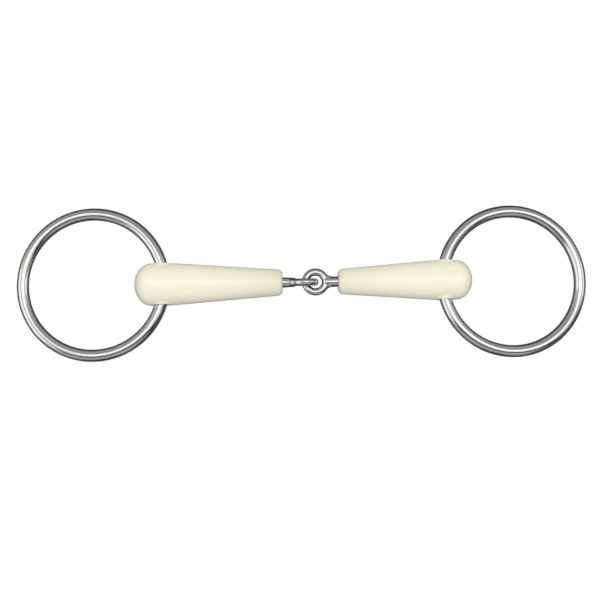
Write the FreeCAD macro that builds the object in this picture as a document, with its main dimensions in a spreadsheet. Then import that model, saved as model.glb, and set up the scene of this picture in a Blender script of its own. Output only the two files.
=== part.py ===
import FreeCAD, Part
import math
import os
import Sketcher

# A single-jointed loose-ring snaffle bit.
#
# Frame: +X runs along the mouthpiece to the right arm, +Z is up along the ring holes, and +Y points
# to the back. The origin is on the mouthpiece's axis, midway between the two ring holes.
# Each arm is drawn in its own frame, with its centre eye at the origin and +X pointing outwards
# along the arm; the left arm is then turned half a turn about Z.

DOCUMENT_NAME = "SnaffleBit"
PARTS_FOLDER = "parts"

# Driving dimensions in millimetres: alias, value, what it measures.
DIMENSIONS = (
    ("mouth_width", 127.0, "between the two ring wires, along the mouthpiece"),
    ("ring_wire_dia", 5.8, "ring wire"),
    ("ring_inner_dia", 61.7, "clear inside of a ring"),
    ("ring_seat", 0.8, "ring centreline past the hole axis, towards the mouth"),
    ("ring_swing", 5.5, "degrees that both rings rest swung to the back"),
    ("left_ring_lift", 0.7, "left ring's centre above the mouthpiece's axis, in the play of its hole"),
    ("right_ring_lift", -0.7, "the same for the right ring"),
    ("ring_hole_dia", 8.0, "hole for the ring, through cover and core"),
    ("ring_hole_rounding", 0.5, "rounded mouth of that hole"),
    ("joint_offset", 3.0, "middle of the centre joint, right of the origin"),
    ("eye_spacing", 5.0, "between the centres of the two linked eyes"),
    ("eye_inner_dia", 6.0, "clear inside of a centre eye"),
    ("eye_wire_dia", 3.5, "round section of a centre eye"),
    ("left_eye_twist", -6.0, "degrees that the left eye is twisted about its own arm"),
    ("right_eye_twist", 0.0, "the same for the right eye"),
    ("neck_root", 4.0, "from the eye's centre to the neck's root, inside the eye's wire"),
    ("neck_root_dia", 3.2, "neck at its root"),
    ("neck_knee", 4.9, "from the eye's centre to where the neck's steep foot ends"),
    ("neck_knee_dia", 4.3, "neck there"),
    ("neck_dia", 5.1, "neck at the cover"),
    ("strand_dia", 3.3, "each of the two strands that run from the neck into the eye"),
    ("strand_offset", 0.85, "strand off the neck's axis, before it curves outwards"),
    ("strand_bend", 6.0, "bend of a strand's centreline"),
    ("shank_dia", 6.4, "shank inside the cover"),
    ("shank_start", 15.0, "from the eye's centre to the foot of the shank's shoulder"),
    ("shank_shoulder", 1.5, "length of the shoulder"),
    ("shank_overlap", 1.5, "how far the shank runs into the outer eye"),
    ("collar_dia", 8.6, "collars that hold the moulding"),
    ("collar_width", 2.4, "collar at its foot"),
    ("collar_bevel", 0.8, "slope on each side of a collar"),
    ("collar_first", 20.0, "from the eye's centre to the first collar"),
    ("collar_spacing", 9.0, "from collar to collar"),
    ("outer_eye_dia", 14.0, "outer eye of the core, round the ring hole"),
    ("outer_eye_height", 8.0, "the same eye along the hole"),
    ("cover_start", 10.7, "from the eye's centre to the cover's inner face"),
    ("left_cover_inner_dia", 12.3, "left cover at its inner face"),
    ("right_cover_inner_dia", 11.9, "right cover at its inner face"),
    ("cover_inner_rounding", 2.4, "rounded rim of the inner face"),
    ("cover_shoulder", 4.8, "from the hole axis inwards to the start of the taper"),
    ("cover_taper_blend", 15.0, "arc between the straight part and the taper"),
    ("cover_overhang", 13.2, "from the hole axis out to the tip"),
    ("cover_nose_length", 7.8, "length of the half-ellipsoid at the tip"),
    ("left_cover_dia", 20.0, "left cover at its fattest"),
    ("right_cover_dia", 18.9, "right cover at its fattest"),
    ("lip_rise", 0.02, "flat lip round a ring hole's mouth, above the top of the cover"),
    ("lip_width", 0.6, "flat of that lip, outside the hole"),
    ("lip_flare", 1.3, "how far the lip spreads outwards as it falls to the cover"),
    ("lip_fall", 2.6, "how far it falls over that flare"),
)

COLLARS = 4
SHEET = "Dimensions"
SLACK = 0.01    # millimetres, for picking edges by where they lie

# The sketcher's numbers for the points of a line or arc.
START, END, CENTRE = 1, 2, 3


def dim(alias):
    """Reference to a cell of the dimension sheet."""
    return f"{SHEET}.{alias}"


HOLE_X = f"({dim('mouth_width')} / 2 + {dim('ring_wire_dia')} / 2 + {dim('ring_seat')})"
RING_RADIUS = f"({dim('ring_inner_dia')} / 2 + {dim('ring_wire_dia')} / 2)"
EYE_RADIUS = f"({dim('eye_inner_dia')} / 2 + {dim('eye_wire_dia')} / 2)"
LEFT_EYE_X = f"({dim('joint_offset')} - {dim('eye_spacing')} / 2)"
RIGHT_EYE_X = f"({dim('joint_offset')} + {dim('eye_spacing')} / 2)"

# A strand bends on an arc that touches the eye's centreline from outside.
BEND_CENTRE_Y = f"({dim('strand_offset')} + {dim('strand_bend')})"
BEND_CENTRE_X = f"(sqrt(({EYE_RADIUS} + {dim('strand_bend')})^2 - {BEND_CENTRE_Y}^2))"
BEND_END_X = f"({BEND_CENTRE_X} * {EYE_RADIUS} / ({EYE_RADIUS} + {dim('strand_bend')}))"
STRAND_START = f"({dim('cover_start')} + {dim('neck_dia')} / 4)"


class Arm:
    """What tells one arm from the other."""

    def __init__(self, side, turn, eye_x, reach, eye_in_xy):
        self.side = side
        self.turn = turn
        self.eye_x = eye_x
        self.reach = reach
        self.eye_in_xy = eye_in_xy
        self.eye_plane = "XY_Plane" if eye_in_xy else "XZ_Plane"
        self.eye_section_plane = "XZ_Plane" if eye_in_xy else "XY_Plane"
        self.mirror_axis = "V_Axis" if eye_in_xy else "H_Axis"
        self.eye_twist = dim(side + "_eye_twist")
        self.cover_dia = dim(side + "_cover_dia")
        self.cover_inner_dia = dim(side + "_cover_inner_dia")


# The left eye lies in the XY plane but for its twist, the right eye stands in the XZ plane.
LEFT = Arm("left", 180, LEFT_EYE_X, f"({HOLE_X} + {LEFT_EYE_X})", True)
RIGHT = Arm("right", 0, RIGHT_EYE_X, f"({HOLE_X} - {RIGHT_EYE_X})", False)


def make_sheet(doc):
    """Spreadsheet with the driving dimensions."""
    sheet = doc.addObject("Spreadsheet::Sheet", SHEET)
    for row, (alias, value, meaning) in enumerate(DIMENSIONS, start=1):
        sheet.set(f"A{row}", meaning)
        sheet.set(f"B{row}", str(value))
        sheet.setAlias(f"B{row}", alias)
    doc.recompute()
    return sheet


def value_of(sketch, expression):
    """Number that an expression has now, to start a constraint from."""
    return float(sketch.evalExpression(expression))


def origin_plane(body, role):
    """One of the body's own three origin planes."""
    return next(item for item in body.Origin.OriginFeatures if item.Role == role)


def add_sketch(body, name, role):
    """Empty sketch on one of the body's origin planes."""
    sketch = body.newObject("Sketcher::SketchObject", name)
    sketch.AttachmentSupport = [(origin_plane(body, role), "")]
    sketch.MapMode = "FlatFace"
    return sketch


def bind(sketch, constraint, name, expression):
    """Add a dimension to a sketch and tie it to an expression."""
    index = sketch.addConstraint(constraint)
    sketch.renameConstraint(index, name)
    sketch.setExpression(f"Constraints.{name}", expression)


def place_point(sketch, geometry, position, name, x, y):
    """Fix a point of the sketch by expressions for its two coordinates; None keeps it on an axis."""
    x_axis, y_axis, root = -1, -2, (-1, 1)
    if x is None:
        sketch.addConstraint(Sketcher.Constraint("PointOnObject", geometry, position, y_axis))
    else:
        distance = Sketcher.Constraint("DistanceX", *root, geometry, position, value_of(sketch, x))
        bind(sketch, distance, name + "_x", x)
    if y is None:
        sketch.addConstraint(Sketcher.Constraint("PointOnObject", geometry, position, x_axis))
    else:
        distance = Sketcher.Constraint("DistanceY", *root, geometry, position, value_of(sketch, y))
        bind(sketch, distance, name + "_y", y)


def point_of(sketch, x, y):
    """Where a pair of expressions puts a point now; None stands for zero."""
    across = 0.0 if x is None else value_of(sketch, x)
    up = 0.0 if y is None else value_of(sketch, y)
    return FreeCAD.Vector(across, up, 0)


def add_line(sketch, start, end):
    """Straight line between two points given as pairs of expressions, not yet constrained."""
    return sketch.addGeometry(Part.LineSegment(point_of(sketch, *start), point_of(sketch, *end)))


def join(sketch, first, second, second_point, how="Coincident"):
    """Join the end of one piece of an outline to the next."""
    sketch.addConstraint(Sketcher.Constraint(how, first, END, second, second_point))


def add_outline(sketch, corners):
    """Closed outline of straight lines through corners given as pairs of expressions."""
    following = corners[1:] + corners[:1]
    lines = [add_line(sketch, corner, target) for corner, target in zip(corners, following)]
    for index, (x, y) in enumerate(corners):
        join(sketch, lines[index - 1], lines[index], START)
        place_point(sketch, lines[index], START, f"corner{index}", x, y)


def add_circle(sketch, name, x, y, diameter):
    """Circle whose centre and diameter are expressions."""
    size = value_of(sketch, diameter)
    circle = Part.Circle(point_of(sketch, x, y), FreeCAD.Vector(0, 0, 1), size / 2)
    geometry = sketch.addGeometry(circle)
    place_point(sketch, geometry, CENTRE, name, x, y)
    bind(sketch, Sketcher.Constraint("Diameter", geometry, size), name + "_dia", diameter)


def revolve(body, name, sketch, axis):
    """Full turn of a sketch about one of its own axes."""
    feature = body.newObject("PartDesign::Revolution", name)
    feature.Profile = sketch
    feature.ReferenceAxis = (sketch, [axis])
    feature.Angle = 360
    return feature


def cut_through(body, name, sketch):
    """Pocket through the whole body, both ways from its sketch."""
    pocket = body.newObject("PartDesign::Pocket", name)
    pocket.Profile = sketch
    pocket.Type = "ThroughAll"
    pocket.Midplane = True
    return pocket


def edges_where(shape, test):
    """Names of the edges that pass a test."""
    return [f"Edge{number}" for number, edge in enumerate(shape.Edges, start=1) if test(edge)]


def fillet(body, name, radius, test):
    """Round the edges of the body's newest feature that pass a test."""
    body.Document.recompute()
    base = body.Tip
    names = edges_where(base.Shape, test)
    if not names:
        raise RuntimeError(f"{body.Name}: no edge found for {name}")
    feature = body.newObject("PartDesign::Fillet", name)
    feature.Base = (base, names)
    feature.setExpression("Radius", radius)
    return feature


def add_body(doc, name, arm):
    """Body in the arm's own frame, placed with its centre eye on the bit."""
    body = doc.addObject("PartDesign::Body", name)
    turn = FreeCAD.Rotation(FreeCAD.Vector(0, 0, 1), arm.turn)
    body.Placement = FreeCAD.Placement(FreeCAD.Vector(0, 0, 0), turn)
    body.setExpression(".Placement.Base.x", arm.eye_x)
    return body


def add_ring_hole(body, arm):
    """Hole for the ring, along Z."""
    sketch = add_sketch(body, body.Name + "_ring_hole_circle", "XY_Plane")
    add_circle(sketch, "hole", arm.reach, None, dim("ring_hole_dia"))
    return cut_through(body, body.Name + "_ring_hole", sketch)


def twist_about_arm(sketch, arm):
    """Turn a sketch that holds the arm's axis about that axis, with the eye."""
    sketch.setExpression("AttachmentOffset", f"placement(vector(0; 0; 0); rotation(0; 0; {arm.eye_twist}))")


def add_centre_eye(body, arm):
    """Round eye of wire, as a full torus about the arm's origin."""
    sketch = add_sketch(body, body.Name + "_eye_section", arm.eye_section_plane)
    twist_about_arm(sketch, arm)
    add_circle(sketch, "wire", EYE_RADIUS, None, dim("eye_wire_dia"))
    return revolve(body, body.Name + "_eye", sketch, "V_Axis")


def add_shank(body, arm):
    """Neck and shank, turned about the arm's axis."""
    sketch = add_sketch(body, body.Name + "_shank_profile", "XZ_Plane")
    shank_end = f"{arm.reach} - {dim('outer_eye_dia')} / 2 + {dim('shank_overlap')}"
    shoulder_end = f"{dim('shank_start')} + {dim('shank_shoulder')}"
    add_outline(sketch, (
        (dim("neck_root"), None),
        (shank_end, None),
        (shank_end, f"{dim('shank_dia')} / 2"),
        (shoulder_end, f"{dim('shank_dia')} / 2"),
        (dim("shank_start"), f"{dim('neck_dia')} / 2"),
        (dim("cover_start"), f"{dim('neck_dia')} / 2"),
        (dim("neck_knee"), f"{dim('neck_knee_dia')} / 2"),
        (dim("neck_root"), f"{dim('neck_root_dia')} / 2"),
    ))
    return revolve(body, body.Name + "_shank", sketch, "H_Axis")


def add_strands(body, arm):
    """Two strands, one each side of the neck's axis, that open out into the eye."""
    section = add_sketch(body, body.Name + "_strand_section", "YZ_Plane")
    along = f"vector(0; 0; {STRAND_START})"
    section.setExpression("AttachmentOffset", f"placement({along}; rotation({arm.eye_twist}; 0; 0))")
    across, up = (dim("strand_offset"), None) if arm.eye_in_xy else (None, dim("strand_offset"))
    add_circle(section, "strand", across, up, dim("strand_dia"))
    path = add_sketch(body, body.Name + "_strand_path", arm.eye_plane)
    twist_about_arm(path, arm)
    add_strand_path(path)
    body.Document.recompute()
    strand = body.newObject("PartDesign::AdditivePipe", body.Name + "_strand")
    strand.Profile = section
    strand.Spine = (path, [""])
    mirrored = body.newObject("PartDesign::Mirrored", body.Name + "_strands")
    mirrored.Originals = [strand]
    mirrored.MirrorPlane = (section, [arm.mirror_axis])
    body.Tip = mirrored
    return mirrored


def add_strand_path(path):
    """Straight run beside the neck's axis, then an arc out to the eye's centreline."""
    start = FreeCAD.Vector(value_of(path, STRAND_START), value_of(path, dim("strand_offset")), 0)
    centre = FreeCAD.Vector(value_of(path, BEND_CENTRE_X), value_of(path, BEND_CENTRE_Y), 0)
    bend = value_of(path, dim("strand_bend"))
    run_end = FreeCAD.Vector(centre.x, start.y, 0)
    straight_down = 3 * math.pi / 2
    towards_eye = math.pi + math.atan2(centre.y, centre.x)
    circle = Part.Circle(centre, FreeCAD.Vector(0, 0, 1), bend)
    run = path.addGeometry(Part.LineSegment(start, run_end))
    arc = path.addGeometry(Part.ArcOfCircle(circle, towards_eye, straight_down))
    path.addConstraint(Sketcher.Constraint("Tangent", run, END, arc, END))
    place_point(path, run, START, "start", STRAND_START, dim("strand_offset"))
    place_point(path, arc, CENTRE, "bend_centre", BEND_CENTRE_X, BEND_CENTRE_Y)
    bind(path, Sketcher.Constraint("Radius", arc, bend), "bend_radius", dim("strand_bend"))
    end_x = value_of(path, BEND_END_X)
    end = Sketcher.Constraint("DistanceX", -1, 1, arc, START, end_x)
    bind(path, end, "bend_end", BEND_END_X)


def add_collars(body):
    """Row of bevelled collars that key the moulding to the shank."""
    sketch = add_sketch(body, body.Name + "_collar_profile", "XZ_Plane")
    foot_end = f"{dim('collar_first')} + {dim('collar_width')}"
    foot_radius = f"{dim('shank_dia')} / 2 - {dim('collar_bevel')}"
    add_outline(sketch, (
        (dim("collar_first"), foot_radius),
        (foot_end, foot_radius),
        (foot_end, f"{dim('shank_dia')} / 2"),
        (f"{foot_end} - {dim('collar_bevel')}", f"{dim('collar_dia')} / 2"),
        (f"{dim('collar_first')} + {dim('collar_bevel')}", f"{dim('collar_dia')} / 2"),
        (dim("collar_first"), f"{dim('shank_dia')} / 2"),
    ))
    collar = revolve(body, body.Name + "_collar", sketch, "H_Axis")
    pattern = body.newObject("PartDesign::LinearPattern", body.Name + "_collars")
    pattern.Originals = [collar]
    pattern.Direction = (sketch, ["H_Axis"])
    pattern.setExpression("Length", f"{dim('collar_spacing')} * {COLLARS - 1}")
    pattern.Occurrences = COLLARS
    body.Tip = pattern
    return pattern


def add_outer_eye(body, arm):
    """Thick disc that becomes the steel eye round the ring hole."""
    sketch = add_sketch(body, body.Name + "_outer_eye_circle", "XY_Plane")
    add_circle(sketch, "rim", arm.reach, None, dim("outer_eye_dia"))
    pad = body.newObject("PartDesign::Pad", body.Name + "_outer_eye")
    pad.Profile = sketch
    pad.Midplane = True
    pad.setExpression("Length", dim("outer_eye_height"))
    return pad


def make_core(doc, arm):
    """One-piece steel core: centre eye, neck, shank with collars, and outer eye."""
    body = add_body(doc, f"{arm.side}_core", arm)
    add_centre_eye(body, arm)
    add_shank(body, arm)
    add_strands(body, arm)
    add_collars(body)
    add_outer_eye(body, arm)
    add_ring_hole(body, arm)
    return body


def make_cover_blank(doc, arm):
    """Solid outer form of the cover: tapered barrel, half-ellipsoid nose and ring hole."""
    body = add_body(doc, f"{arm.side}_cover_blank", arm)
    profile = add_sketch(body, body.Name + "_profile", "XZ_Plane")
    add_cover_profile(profile, arm)
    revolve(body, body.Name + "_form", profile, "H_Axis")
    round_inner_rim(body, value_of(profile, dim("cover_start")))
    add_lips(body, arm)
    add_ring_hole(body, arm)
    round_hole_mouths(body, value_of(profile, arm.reach), value_of(profile, dim("ring_hole_dia")))
    return body


def add_cover_profile(profile, arm):
    """Half outline of a cover: straight part, blend, taper, inner face, axis and elliptical nose."""
    tip = f"({arm.reach} + {dim('cover_overhang')})"
    nose_start = f"({tip} - {dim('cover_nose_length')})"
    straight_end = f"({arm.reach} - {dim('cover_shoulder')})"
    radius = f"({arm.cover_dia} / 2)"
    inner_radius = f"({arm.cover_inner_dia} / 2)"

    straight = add_line(profile, (nose_start, radius), (straight_end, radius))
    taper = add_line(profile, (straight_end, radius), (dim("cover_start"), inner_radius))
    face = add_line(profile, (dim("cover_start"), inner_radius), (dim("cover_start"), None))
    axis = add_line(profile, (dim("cover_start"), None), (tip, None))
    blend = add_blend(profile, straight_end, radius, inner_radius)
    nose = add_nose_arc(profile, nose_start, radius)

    place_point(profile, straight, START, "nose_start", nose_start, radius)
    place_point(profile, straight, END, "straight_end", straight_end, radius)
    join(profile, straight, blend, START, "Tangent")
    join(profile, blend, taper, START, "Tangent")
    join(profile, taper, face, START)
    place_point(profile, face, START, "inner_rim", dim("cover_start"), inner_radius)
    join(profile, face, axis, START)
    place_point(profile, axis, START, "inner_face", dim("cover_start"), None)
    join(profile, axis, nose, START)
    place_point(profile, axis, END, "tip", tip, None)
    join(profile, nose, straight, START)
    place_point(profile, nose, CENTRE, "nose_centre", nose_start, None)


def add_blend(profile, straight_end, radius, inner_radius):
    """Arc that turns from the straight part into the taper."""
    top = point_of(profile, straight_end, radius)
    bend = value_of(profile, dim("cover_taper_blend"))
    fall = top.y - value_of(profile, inner_radius)
    slope = math.atan2(fall, top.x - value_of(profile, dim("cover_start")))
    circle = Part.Circle(top - FreeCAD.Vector(0, bend, 0), FreeCAD.Vector(0, 0, 1), bend)
    blend = profile.addGeometry(Part.ArcOfCircle(circle, math.pi / 2, math.pi / 2 + slope))
    bind(profile, Sketcher.Constraint("Radius", blend, bend), "blend_radius", dim("cover_taper_blend"))
    return blend


def add_nose_arc(profile, nose_start, radius):
    """Quarter of an upright ellipse, from the tip on the axis up to the straight part."""
    centre = point_of(profile, nose_start, None)
    top = point_of(profile, nose_start, radius)
    length = FreeCAD.Vector(value_of(profile, dim("cover_nose_length")), 0, 0)
    ellipse = Part.Ellipse(top, centre - length, centre)
    at_tip, at_top = 3 * math.pi / 2, 2 * math.pi
    nose = profile.addGeometry(Part.ArcOfEllipse(ellipse, at_tip, at_top))
    profile.exposeInternalGeometry(nose)
    major_axis = nose + 1
    profile.addConstraint(Sketcher.Constraint("Vertical", major_axis))
    return nose


def add_lips(body, arm):
    """Flat lip round each mouth of the ring hole, flaring down into the cover's round sides."""
    sketch = add_sketch(body, body.Name + "_lip_profile", "XZ_Plane")
    sketch.setExpression(".AttachmentOffset.Base.x", arm.reach)
    top = f"({arm.cover_dia} / 2 + {dim('lip_rise')})"
    foot = f"({top} - {dim('lip_fall')})"
    flat = f"({dim('ring_hole_dia')} / 2 + {dim('lip_width')})"
    spread = f"({flat} + {dim('lip_flare')})"
    add_outline(sketch, (
        (None, f"-{top}"),
        (flat, f"-{top}"),
        (spread, f"-{foot}"),
        (spread, foot),
        (flat, top),
        (None, top),
    ))
    return revolve(body, body.Name + "_lips", sketch, "V_Axis")


def round_inner_rim(body, face_x):
    """Round the rim of the cover's inner face."""

    def is_rim(edge):
        box = edge.BoundBox
        return abs(box.XMin - face_x) < SLACK and abs(box.XMax - face_x) < SLACK

    return fillet(body, body.Name + "_inner_rim", dim("cover_inner_rounding"), is_rim)


def round_hole_mouths(body, hole_x, hole_dia):
    """Round the rims where the ring hole breaks out of the two lips."""

    def is_hole_rim(edge):
        box = edge.BoundBox
        is_level = box.ZLength < SLACK
        is_centred = abs(box.Center.x - hole_x) < SLACK
        return is_level and is_centred and abs(box.XLength - hole_dia) < SLACK

    return fillet(body, body.Name + "_hole_rims", dim("ring_hole_rounding"), is_hole_rim)


def make_cover(doc, arm, core):
    """Polymer cover: the outer form less the core it is moulded round."""
    blank = make_cover_blank(doc, arm)
    cover = doc.addObject("Part::Cut", f"{arm.side}_cover")
    cover.Base = blank
    cover.Tool = core
    return cover


def make_ring(doc, side, direction):
    """Loose ring, seated in its hole, swung to the back and a little high or low in the play."""
    ring = doc.addObject("Part::Torus", f"{side}_ring")
    ring.setExpression("Radius1", RING_RADIUS)
    ring.setExpression("Radius2", f"{dim('ring_wire_dia')} / 2")
    swing = f"({dim('ring_swing')} * 1 deg)"
    reach = f"({RING_RADIUS} - {dim('ring_seat')})"
    across = f"{direction} * ({HOLE_X} + {reach} * cos({swing}))"
    back = f"{reach} * sin({swing})"
    upright = f"rotation({direction} * {swing}; 0; 90)"
    lift = dim(side + "_ring_lift")
    ring.setExpression("Placement", f"placement(vector({across}; {back}; {lift}); {upright})")
    return ring


def check(doc, pieces):
    """Stop if any object failed or any piece's shape isn't one valid solid."""
    for item in doc.Objects:
        if "Invalid" in item.State or "Error" in item.State:
            raise RuntimeError(f"{item.Name} failed: {item.State}")
    for piece in pieces:
        if piece.Shape.isNull() or not piece.Shape.isValid():
            raise RuntimeError(f"{piece.Label} has no valid shape")
        if len(piece.Shape.Solids) != 1:
            raise RuntimeError(f"{piece.Label} has {len(piece.Shape.Solids)} solids")


def main():
    doc = FreeCAD.newDocument(DOCUMENT_NAME)
    make_sheet(doc)
    pieces = []
    for arm, outward in ((LEFT, -1), (RIGHT, 1)):
        core = make_core(doc, arm)
        pieces += [core, make_cover(doc, arm, core), make_ring(doc, arm.side, outward)]
    doc.recompute()
    check(doc, pieces)
    os.makedirs(PARTS_FOLDER, exist_ok=True)
    for piece in pieces:
        piece.Shape.exportStep(os.path.join(PARTS_FOLDER, piece.Label + ".step"))


main()
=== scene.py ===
import math

import bpy
from mathutils import Euler, Matrix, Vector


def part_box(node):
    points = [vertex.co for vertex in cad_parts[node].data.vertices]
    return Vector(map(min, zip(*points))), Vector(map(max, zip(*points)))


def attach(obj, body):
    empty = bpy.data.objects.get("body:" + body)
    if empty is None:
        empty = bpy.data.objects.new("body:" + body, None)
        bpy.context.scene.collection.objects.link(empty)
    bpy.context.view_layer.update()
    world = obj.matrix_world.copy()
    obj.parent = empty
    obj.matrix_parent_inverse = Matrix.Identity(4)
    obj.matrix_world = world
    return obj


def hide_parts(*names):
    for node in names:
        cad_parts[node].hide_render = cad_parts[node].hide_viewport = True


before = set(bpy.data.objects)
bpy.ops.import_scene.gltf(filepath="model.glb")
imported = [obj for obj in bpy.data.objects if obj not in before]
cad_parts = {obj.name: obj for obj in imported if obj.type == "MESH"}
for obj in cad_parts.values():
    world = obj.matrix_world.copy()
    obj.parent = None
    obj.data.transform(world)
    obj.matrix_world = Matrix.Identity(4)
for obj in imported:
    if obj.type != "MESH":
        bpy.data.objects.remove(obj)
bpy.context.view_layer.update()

# ---------------------------------------------------------------- named values, metres and degrees

MM = 0.001

FRAME_WIDTH = 285 * MM            # what the picture's width shows at the bit
LENS = 100.0                      # millimetres, on a sensor 36 mm wide
SENSOR = 36.0
CAMERA_TARGET = (-2.05 * MM, -8.5 * MM)     # x and z of the point it looks at
CAMERA_YAW = math.radians(2.55)   # the left ring is a little nearer
CAMERA_PITCH = math.radians(6.1)  # the camera looks up a little
CAMERA_ROLL = math.radians(1.22)
FLOOR_DROP = 0.45                 # floor below the bit, clear of a low camera
FLOOR_SIZE = 12.0

SIDES = ("left", "right")
RING_WIRE = 5.8 * MM
RING_SWING = math.radians(5.5)    # how far each ring rests swung to the back
WELD_ANGLES = {"left": math.radians(142), "right": math.radians(0)}

# The soft light that falls on the polymer comes from the camera's side, from a little above.
# Its stops run from 0, straight away from that side, to 1, straight towards it, and give brightness.
LIGHT_LIFT = math.radians(5)
SOFT_LIGHT = ((0.35, 0.30), (0.95, 1.38))

# Rounding of creases where the steel was forged and the polymer moulded.
CORE_VOXEL = 0.2 * MM
CORE_PASSES = 14
COVER_VOXEL = 0.35 * MM
COVER_PASSES = 10
PASS_STRENGTH = 0.5


# ---------------------------------------------------------------- shader helpers

class Nodes:
    """Small wrapper that adds shader nodes and links them by name."""

    def __init__(self, tree):
        self.tree = tree
        tree.nodes.clear()

    def add(self, kind, inputs=None, **settings):
        node = self.tree.nodes.new(kind)
        for name, value in settings.items():
            setattr(node, name, value)
        for name, value in (inputs or {}).items():
            self.feed(node.inputs[name], value)
        return node

    def feed(self, socket, value):
        if isinstance(value, bpy.types.NodeSocket):
            self.tree.links.new(value, socket)
        else:
            socket.default_value = value

    def math(self, operation, *values):
        node = self.add("ShaderNodeMath", operation=operation)
        for index, value in enumerate(values):
            self.feed(node.inputs[index], value)
        return node.outputs[0]

    def ramp(self, factor, stops):
        """Grey values along a ramp; stops are (position, value)."""
        node = self.add("ShaderNodeValToRGB", {"Fac": factor})
        elements = node.color_ramp.elements
        while len(elements) < len(stops):
            elements.new(1.0)
        for element, (position, value) in zip(elements, stops):
            element.position = position
            element.color = (value, value, value, 1)
        return node.outputs["Color"]

    def mix(self, factor, first, second, how="MIX"):
        """Mix two colours."""
        node = self.add("ShaderNodeMix", data_type="RGBA", blend_type=how)
        self.feed(node.inputs["Factor"], factor)
        self.feed(node.inputs["A"], first)
        self.feed(node.inputs["B"], second)
        return node.outputs["Result"]

    def noise(self, place, scale, detail=2.0, roughness=0.5):
        """Noise of 0 to 1, with scale as its grains per metre."""
        node = self.add("ShaderNodeTexNoise", {
            "Vector": place, "Scale": scale, "Detail": detail, "Roughness": roughness})
        return node.outputs["Fac"]

    def combine(self, x, y, z):
        node = self.add("ShaderNodeCombineXYZ")
        for socket, value in zip(node.inputs, (x, y, z)):
            self.feed(socket, value)
        return node.outputs[0]

    def bump(self, height, depth, normal=None):
        """Bump whose height of 0 to 1 stands for a depth in metres."""
        node = self.add("ShaderNodeBump", {"Height": height, "Strength": 1.0, "Distance": depth})
        if normal is not None:
            self.feed(node.inputs["Normal"], normal)
        return node.outputs[0]


def new_material(name):
    material = bpy.data.materials.new(name)
    material.use_nodes = True
    return material, Nodes(material.node_tree)


def dress(piece, material):
    """Give a piece one material."""
    piece.data.materials.clear()
    piece.data.materials.append(material)


# ---------------------------------------------------------------- materials

# Steel where it is bright and where it is a little hazy, and a dark steel colour painted as shade in
# hollows.
BRIGHT_STEEL = (0.80, 0.79, 0.775, 1)
HAZY_STEEL = (0.79, 0.78, 0.765, 1)
PAINTED_SHADE_STEEL = (0.13, 0.125, 0.12, 1)

# Roughness of the best polished steel, and the most that each flaw adds to it.
POLISHED = 0.03
HAZE_ADDS = 0.05
STREAKS_ADD = 0.03
WEAR_ADDS = 0.22
HOLLOW_ROUGHNESS_ADDS = 0.25

# Marks in the steel.
WAVE_DEPTH = 0.05 * MM
STREAK_DEPTH = 0.0012 * MM
SPECK_DEPTH = 0.004 * MM
SPECK_STOPS = ((0.62, 0.0), (0.74, 1.0))    # only the peaks of the noise are specks
RING_DRAW = 0.03                  # detail of polishing lines along the wire, as a share of that across it
CORE_DRAW = 0.06                  # the same along the arms

# Worn steel beside a weld, and shade painted dark into hollows.
WELD_SPAN = 8 * MM
WELD_STOPS = ((0.05, 1.0), (0.22, 0.0))     # distance from the weld as a share of WELD_SPAN, and wear
HOLLOW_REACH = 5 * MM                       # how far round a point counts as its hollow
HOLLOW_SHADE_STOPS = ((0.42, 1.0), (0.68, 0.0))   # how open the hollow is, and painted shade
HOLLOW_SAMPLES = 16

# Polymer, with painted shade that darkens it towards the joint.
CREAM = (0.865, 0.855, 0.68, 1)
PALE_CREAM = (0.895, 0.885, 0.715, 1)
JOINT_SHADE_SPAN = 100 * MM
JOINT_SHADE_STOPS = ((0.14, 0.91), (0.24, 0.965), (0.36, 1.0), (0.50, 1.03))    # share of the span, and painted brightness
SWELL_DEPTH = 0.05 * MM
PEEL_DEPTH = 0.003 * MM
MOULDED = 0.05                    # roughness of unmarked polymer
RUB_ADDS = 0.08                   # the most that rubbing adds to it
GLOW_DEPTH = 2.5 * MM             # how far light spreads inside it


def finish_steel(nodes, place, streaks, worn, hollow_shade):
    """Polished steel: fine polishing lines, slow waves left by hand polishing, and specks."""
    waves = nodes.noise(place, scale=170.0, detail=1.0)
    specks = nodes.ramp(nodes.noise(place, scale=2600.0), SPECK_STOPS)
    normal = nodes.bump(waves, WAVE_DEPTH)
    normal = nodes.bump(streaks, STREAK_DEPTH, normal)
    normal = nodes.bump(nodes.math("MULTIPLY", specks, -1.0), SPECK_DEPTH, normal)
    haze = nodes.noise(place, scale=90.0, detail=4.0, roughness=0.6)
    roughness = nodes.math("MULTIPLY_ADD", haze, HAZE_ADDS, POLISHED)
    roughness = nodes.math("MULTIPLY_ADD", streaks, STREAKS_ADD, roughness)
    roughness = nodes.math("MULTIPLY_ADD", worn, WEAR_ADDS, roughness)
    roughness = nodes.math("MULTIPLY_ADD", hollow_shade, HOLLOW_ROUGHNESS_ADDS, roughness)
    tint = nodes.mix(haze, BRIGHT_STEEL, HAZY_STEEL)
    # Painted shade: the steel is mixed towards a dark colour in hollows.
    tint = nodes.mix(hollow_shade, tint, PAINTED_SHADE_STEEL)
    surface = nodes.add("ShaderNodeBsdfPrincipled", {
        "Base Color": tint,
        "Metallic": 1.0,
        "Roughness": roughness,
        "Normal": normal,
    })
    nodes.add("ShaderNodeOutputMaterial", {"Surface": surface.outputs[0]})


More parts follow.
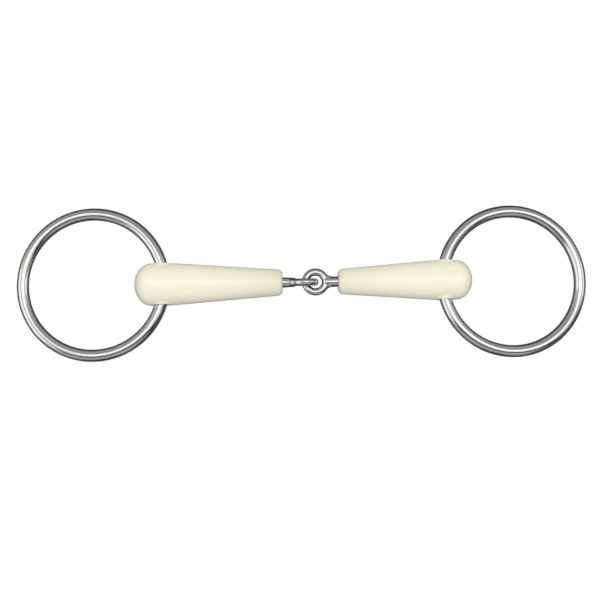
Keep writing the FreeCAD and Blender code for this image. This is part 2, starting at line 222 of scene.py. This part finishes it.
def ring_steel(side):
    """Steel wire of one ring, with lines that run round the ring and a dressed weld."""
    material, nodes = new_material(side + "_ring_steel")
    low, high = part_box(side + "_ring")
    centre = (low + high) / 2
    radius = (high.z - low.z - RING_WIRE) / 2
    swing = RING_SWING if side == "left" else -RING_SWING
    place = nodes.add("ShaderNodeTexCoord").outputs["Object"]
    # The ring's own frame: its centre at the origin and its swing taken out.
    own = nodes.add("ShaderNodeVectorRotate", {"Vector": place, "Center": centre, "Angle": swing},
                    rotation_type="Z_AXIS")
    own = nodes.add("ShaderNodeVectorMath", {0: own.outputs[0], 1: centre}, operation="SUBTRACT")
    x, y, z = nodes.add("ShaderNodeSeparateXYZ", {"Vector": own.outputs[0]}).outputs
    around = nodes.math("ARCTAN2", z, x)
    squares = nodes.math("ADD", nodes.math("MULTIPLY", x, x), nodes.math("MULTIPLY", z, z))
    spoke = nodes.math("SQRT", squares)
    across = nodes.math("ARCTAN2", y, nodes.math("SUBTRACT", spoke, radius))
    along = nodes.math("MULTIPLY", around, radius)
    girth = nodes.math("MULTIPLY", across, RING_WIRE / 2)
    skin = nodes.combine(nodes.math("MULTIPLY", along, RING_DRAW), girth, 0.0)
    streaks = nodes.noise(skin, scale=5200.0, detail=3.0, roughness=0.6)
    from_weld = nodes.math("ABSOLUTE", nodes.math("SUBTRACT", around, WELD_ANGLES[side]))
    weld = nodes.ramp(nodes.math("MULTIPLY", from_weld, radius / WELD_SPAN), WELD_STOPS)
    worn = nodes.math("MULTIPLY", weld, nodes.noise(place, scale=900.0, detail=3.0))
    finish_steel(nodes, place, streaks, worn, hollow_shade=0.0)
    return material


def core_steel():
    """Forged steel, polished along the arms, with shade painted dark into its hollows."""
    material, nodes = new_material("core_steel")
    place = nodes.add("ShaderNodeTexCoord").outputs["Object"]
    x, y, z = nodes.add("ShaderNodeSeparateXYZ", {"Vector": place}).outputs
    skin = nodes.combine(nodes.math("MULTIPLY", x, CORE_DRAW), y, z)
    streaks = nodes.noise(skin, scale=4200.0, detail=3.0, roughness=0.6)
    # Painted shade: ambient occlusion darkens the steel in its hollows and roughens it there.
    hollow = nodes.add("ShaderNodeAmbientOcclusion", {"Distance": HOLLOW_REACH}, samples=HOLLOW_SAMPLES)
    hollow_shade = nodes.ramp(hollow.outputs["AO"], HOLLOW_SHADE_STOPS)
    finish_steel(nodes, place, streaks, worn=0.0, hollow_shade=hollow_shade)
    return material


def polymer():
    """Cream moulded polymer: soft sheen, faint cloudiness, orange peel, rubbed patches and painted shade
    towards the joint.
    """
    material, nodes = new_material("cream_polymer")
    place = nodes.add("ShaderNodeTexCoord").outputs["Object"]
    cloud = nodes.noise(place, scale=120.0, detail=3.0)
    x = nodes.add("ShaderNodeSeparateXYZ", {"Vector": place}).outputs["X"]
    # Painted shade: the polymer gets darker towards the joint and lighter towards its ends.
    from_middle = nodes.math("MULTIPLY", nodes.math("ABSOLUTE", x), 1 / JOINT_SHADE_SPAN)
    joint_shade = nodes.ramp(from_middle, JOINT_SHADE_STOPS)
    colour = nodes.mix(1.0, nodes.mix(cloud, CREAM, PALE_CREAM), joint_shade, "MULTIPLY")
    normal = nodes.bump(nodes.noise(place, scale=210.0, detail=1.0), SWELL_DEPTH)
    normal = nodes.bump(nodes.noise(place, scale=1500.0), PEEL_DEPTH, normal)
    rub = nodes.noise(place, scale=300.0, detail=5.0, roughness=0.65)
    roughness = nodes.math("MULTIPLY_ADD", rub, RUB_ADDS, MOULDED)
    surface = nodes.add("ShaderNodeBsdfPrincipled", {
        "Base Color": colour,
        "Roughness": roughness,
        "IOR": 1.5,
        "Subsurface Weight": 0.25,
        "Subsurface Radius": (1.0, 0.85, 0.45),
        "Subsurface Scale": GLOW_DEPTH,
        "Normal": normal,
    })
    nodes.add("ShaderNodeOutputMaterial", {"Surface": surface.outputs[0]})
    return material


# ---------------------------------------------------------------- pieces

def rounded_piece(node_name, body, voxel, passes):
    """Piece that stands for a CAD node with its creases rounded."""
    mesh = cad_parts[node_name].data.copy()
    piece = bpy.data.objects.new(node_name + "_piece", mesh)
    bpy.context.scene.collection.objects.link(piece)
    skin = piece.modifiers.new("skin", "REMESH")
    skin.mode = "VOXEL"
    skin.voxel_size = voxel
    skin.use_smooth_shade = True
    rounding = piece.modifiers.new("rounding", "SMOOTH")
    rounding.factor = PASS_STRENGTH
    rounding.iterations = passes
    shaped = piece.evaluated_get(bpy.context.evaluated_depsgraph_get())
    final = bpy.data.meshes.new_from_object(shaped)
    piece.modifiers.clear()
    piece.data = final
    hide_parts(node_name)
    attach(piece, body)
    return piece


def dress_bit():
    """Rings keep their CAD shape; cores and covers get rounded creases."""
    core_material = core_steel()
    cover_material = polymer()
    for side in SIDES:
        dress(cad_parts[side + "_ring"], ring_steel(side))
        body = side + "_arm"
        core = rounded_piece(side + "_core", body, CORE_VOXEL, CORE_PASSES)
        dress(core, core_material)
        cover = rounded_piece(side + "_cover", body, COVER_VOXEL, COVER_PASSES)
        dress(cover, cover_material)


# ---------------------------------------------------------------- studio

# The studio in degrees to the right of the camera and above it, as seen from the bit.
# Brightness by height, and how much of it is left towards the sides and behind the bit.
HEIGHTS = ((-90, 0.12), (-80, 0.18), (-66, 0.38), (-42, 0.43), (-20, 0.50), (22, 0.52),
           (36, 0.36), (50, 0.33), (68, 0.35), (78, 0.30), (90, 0.21))
SIDES_FALL = ((-180, 0.15), (-125, 0.18), (-102, 0.32), (-84, 1.0), (76, 1.0), (92, 0.42),
              (110, 0.20), (180, 0.15))

# Panels and shades: left, right, low and high edge and softness in degrees, and brightness.
PANELS = (
    (-76, -39, -30, 18, 6, 1.15),      # large window on the left
    (-16, 34, -8, 23, 6, 1.06),        # window behind the camera
    (-14, 25, 8, 16, 5, 1.90),         # its brightest part
    (-39, -17, -18, 22, 4, 0.60),      # gap between the front and left windows
    (54, 76, 2, 18, 5, 1.25),          # small window on the right
    (60, 150, -60, -6, 9, 0.08),       # dark corner at the lower right
    (-36, 64, -34, -18, 4, 0.03),      # dark edge of the table
)


class Studio:
    """Builds the studio's brightness from directions round the camera."""

    def __init__(self, nodes, right, up, towards):
        self.nodes = nodes
        self.turn = self.degrees("ARCTAN2", right, towards)
        self.height = self.degrees("ARCSINE", up)

    def degrees(self, operation, *values):
        return self.nodes.math("MULTIPLY", self.nodes.math(operation, *values), math.degrees(1))

    def profile(self, angle, stops, reach):
        """Brightness along one angle that runs from -reach to reach."""
        place = self.nodes.math("MULTIPLY_ADD", angle, 0.5 / reach, 0.5)
        return self.nodes.ramp(place, [((stop + reach) / (2 * reach), value) for stop, value in stops])

    def past_edges(self, angle, low, high):
        """How far an angle lies outside the span from low to high."""
        off = self.nodes.math("ABSOLUTE", self.nodes.math("SUBTRACT", angle, (low + high) / 2))
        return self.nodes.math("SUBTRACT", off, (high - low) / 2)

    def panel(self, scene, left, right, low, high, soft, brightness):
        """Lay one soft-edged panel over the scene."""
        outside = self.nodes.math("MAXIMUM", self.past_edges(self.turn, left, right),
                                  self.past_edges(self.height, low, high))
        mask = self.nodes.add("ShaderNodeMapRange", {
            "Value": outside, "From Min": -soft / 2, "From Max": soft / 2, "To Min": 1.0, "To Max": 0.0},
            interpolation_type="SMOOTHSTEP")
        return self.nodes.mix(mask.outputs[0], scene, (brightness, brightness, brightness, 1))

    def scene(self):
        scene = self.nodes.mix(1.0, self.profile(self.height, HEIGHTS, 90),
                               self.profile(self.turn, SIDES_FALL, 180), "MULTIPLY")
        for panel in PANELS:
            scene = self.panel(scene, *panel)
        return scene


def make_world():
    """White to the camera; a studio that stays round the camera for reflections and soft light."""
    world = bpy.data.worlds.new("studio")
    bpy.context.scene.world = world
    world.use_nodes = True
    nodes = Nodes(world.node_tree)
    direction = nodes.add("ShaderNodeTexCoord").outputs["Generated"]
    turned = nodes.add("ShaderNodeVectorTransform", {"Vector": direction},
                       vector_type="VECTOR", convert_from="WORLD", convert_to="CAMERA")
    right, up, forward = nodes.add("ShaderNodeSeparateXYZ", {"Vector": turned.outputs[0]}).outputs
    towards = nodes.math("MULTIPLY", forward, -1.0)
    studio = Studio(nodes, right, up, towards).scene()

    level = nodes.math("MULTIPLY", towards, math.cos(LIGHT_LIFT))
    facing = nodes.math("MULTIPLY_ADD", up, math.sin(LIGHT_LIFT), level)
    soft = nodes.ramp(nodes.math("MULTIPLY_ADD", facing, 0.5, 0.5), SOFT_LIGHT)
    path = nodes.add("ShaderNodeLightPath")
    light = nodes.mix(path.outputs["Is Glossy Ray"], soft, studio)
    shown = nodes.mix(path.outputs["Is Camera Ray"], light, (1, 1, 1, 1))
    background = nodes.add("ShaderNodeBackground", {"Color": shown, "Strength": 1.0})
    nodes.add("ShaderNodeOutputWorld", {"Surface": background.outputs[0]})


def make_floor():
    bpy.ops.mesh.primitive_plane_add(size=FLOOR_SIZE, location=(0, 0, -FLOOR_DROP))
    floor = bpy.context.object
    floor.name = "floor"
    material, nodes = new_material("floor_white")
    surface = nodes.add("ShaderNodeBsdfPrincipled", {
        "Base Color": (0.9, 0.9, 0.9, 1),
        "Roughness": 0.9,
        "Emission Color": (1, 1, 1, 1),
        "Emission Strength": 0.6,
    })
    nodes.add("ShaderNodeOutputMaterial", {"Surface": surface.outputs[0]})
    floor.data.materials.append(material)
    floor.visible_glossy = False
    floor.visible_diffuse = False


def make_camera():
    lens = bpy.data.cameras.new("camera")
    lens.lens = LENS
    lens.sensor_width = SENSOR
    camera = bpy.data.objects.new("camera", lens)
    bpy.context.scene.collection.objects.link(camera)
    distance = FRAME_WIDTH * LENS / SENSOR
    level = distance * math.cos(CAMERA_PITCH)
    x, z = CAMERA_TARGET
    camera.location = (
        x - level * math.sin(CAMERA_YAW),
        -level * math.cos(CAMERA_YAW),
        z - distance * math.sin(CAMERA_PITCH),
    )
    aim = Euler((math.pi / 2 + CAMERA_PITCH, 0, -CAMERA_YAW)).to_matrix()
    camera.rotation_euler = (aim @ Matrix.Rotation(-CAMERA_ROLL, 3, "Z")).to_euler()
    bpy.context.scene.camera = camera


dress_bit()
make_world()
make_floor()
make_camera()
bpy.context.scene.view_settings.view_transform = "Standard"
